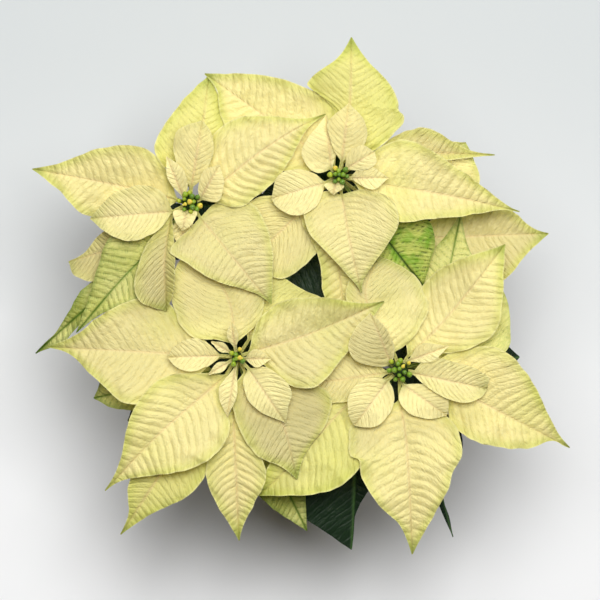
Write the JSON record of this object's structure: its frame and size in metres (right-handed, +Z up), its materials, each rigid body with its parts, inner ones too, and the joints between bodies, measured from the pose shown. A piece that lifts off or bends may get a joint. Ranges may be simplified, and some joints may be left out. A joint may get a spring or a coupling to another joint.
{
  "type": "potted poinsettia",
  "caption": "Potted flowering plant: heads of broad pointed pale bracts around small green buds, on one branched stem in a tapered pot.",
  "frame": {"origin": "middle of the pot's flat underside", "axes": "+Z up the plant; +X and +Y lie in the floor, with the head nearest the middle in the -X -Y quarter"},
  "size_m": [0.3785, 0.364, 0.2937],
  "materials": {
    "pot": "terracotta-coloured matt plastic",
    "soil": "moist crumbly potting soil",
    "stem": "green young stem, brown and woody at the foot",
    "flowers": "smooth green buds with yellow tips",
    "bract": "soft veined cream bract",
    "turning": "half green, half cream leaf with dark veins",
    "leaf": "dark green leaf"
  },
  "bodies": {
    "root": {"bract_a1": "bract", "bract_a10": "bract", "bract_a11": "turning", "bract_a12": "bract", "bract_a13": "turning", "bract_a2": "bract", "bract_a3": "bract", "bract_a5": "bract", "bract_a6": "bract", "bract_a9": "bract", "bract_b1": "bract", "bract_b12": "bract", "bract_b13": "bract", "bract_b14": "turning", "bract_b16": "bract", "bract_b17": "bract", "bract_b2": "bract", "bract_b3": "bract", "bract_b4": "bract", "bract_b5": "bract", "bract_b6": "bract", "bract_b7": "bract", "bract_b8": "bract", "bract_c1": "bract", "bract_c10": "bract", "bract_c11": "bract", "bract_c12": "bract", "bract_c13": "bract", "bract_c14": "bract", "bract_c15": "bract", "bract_c2": "bract", "bract_c3": "bract", "bract_c4": "bract", "bract_d1": "bract", "bract_d10": "bract", "bract_d11": "turning", "bract_d2": "bract", "bract_d3": "bract", "bract_d4": "bract", "bract_d5": "bract", "bract_d6": "bract", "bract_d7": "bract", "bract_d8": "bract", "bract_d9": "bract", "flowers_a": "flowers", "flowers_b": "flowers", "flowers_c": "flowers", "flowers_d": "flowers", "leaf_a19": "leaf", "leaf_b19": "leaf", "leaf_b20": "leaf", "leaf_c17": "turning", "leaf_c18": "turning", "leaf_c19": "leaf", "leaf_d12": "leaf", "leaf_d13": "leaf", "leaf_d14": "leaf", "pot": "pot", "soil": "soil", "stem": "stem"}
  },
  "joints": []
}
